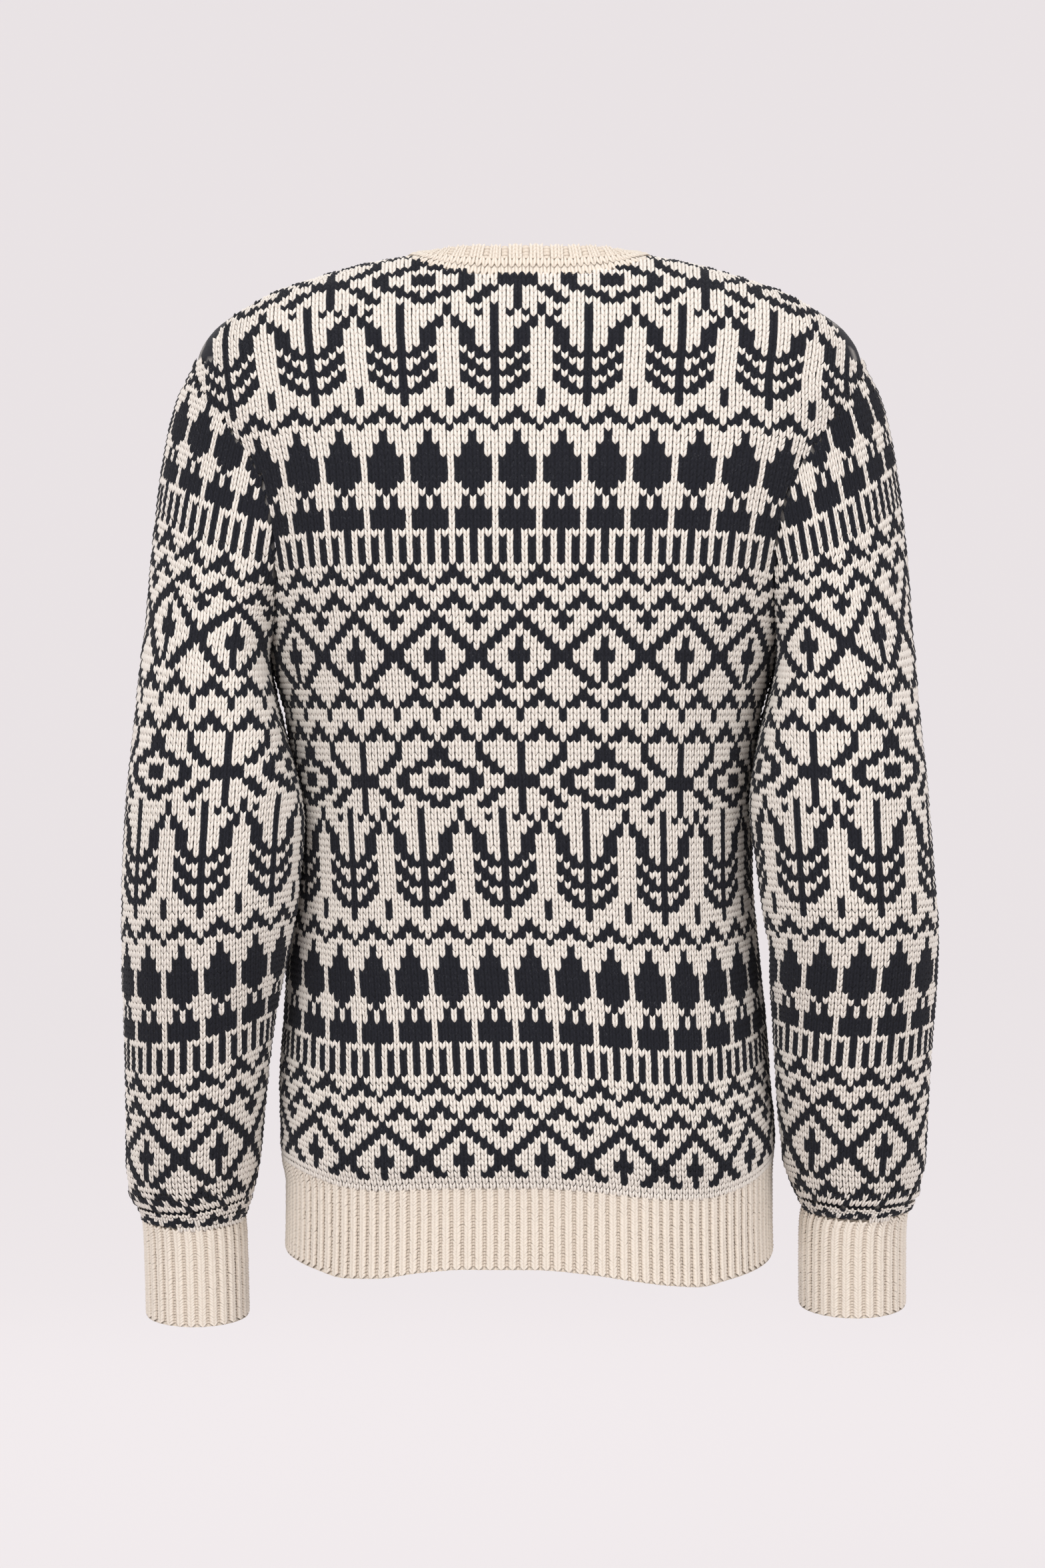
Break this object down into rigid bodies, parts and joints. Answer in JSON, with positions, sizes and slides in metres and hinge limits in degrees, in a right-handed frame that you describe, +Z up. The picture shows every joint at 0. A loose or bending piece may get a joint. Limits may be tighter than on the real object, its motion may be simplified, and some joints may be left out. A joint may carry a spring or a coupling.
{
  "type": "crewneck sweater",
  "caption": "Long-sleeved wool pullover with a ribbed crew neckband, ribbed cuffs and hem, and an all-over two-colour banded knit pattern, in its worn shape.",
  "frame": {"origin": "middle of the shoulder line, level with the tops of the shoulders, where the wearer's shoulders hold the sweater", "axes": "+Z up, the front faces -Y, the wearer's left is +X"},
  "size_m": [0.5294, 0.2432, 0.7067],
  "materials": {
    "patterned_knit": "matte wool knit in cream and navy",
    "cream_rib": "matte cream wool rib"
  },
  "bodies": {
    "root": {"back": "patterned_knit", "front": "patterned_knit", "sleeve_left": "patterned_knit", "sleeve_right": "patterned_knit", "cuff_left": "cream_rib", "cuff_right": "cream_rib", "hem_back": "cream_rib", "hem_front": "cream_rib", "neckband": "cream_rib"}
  },
  "joints": []
}
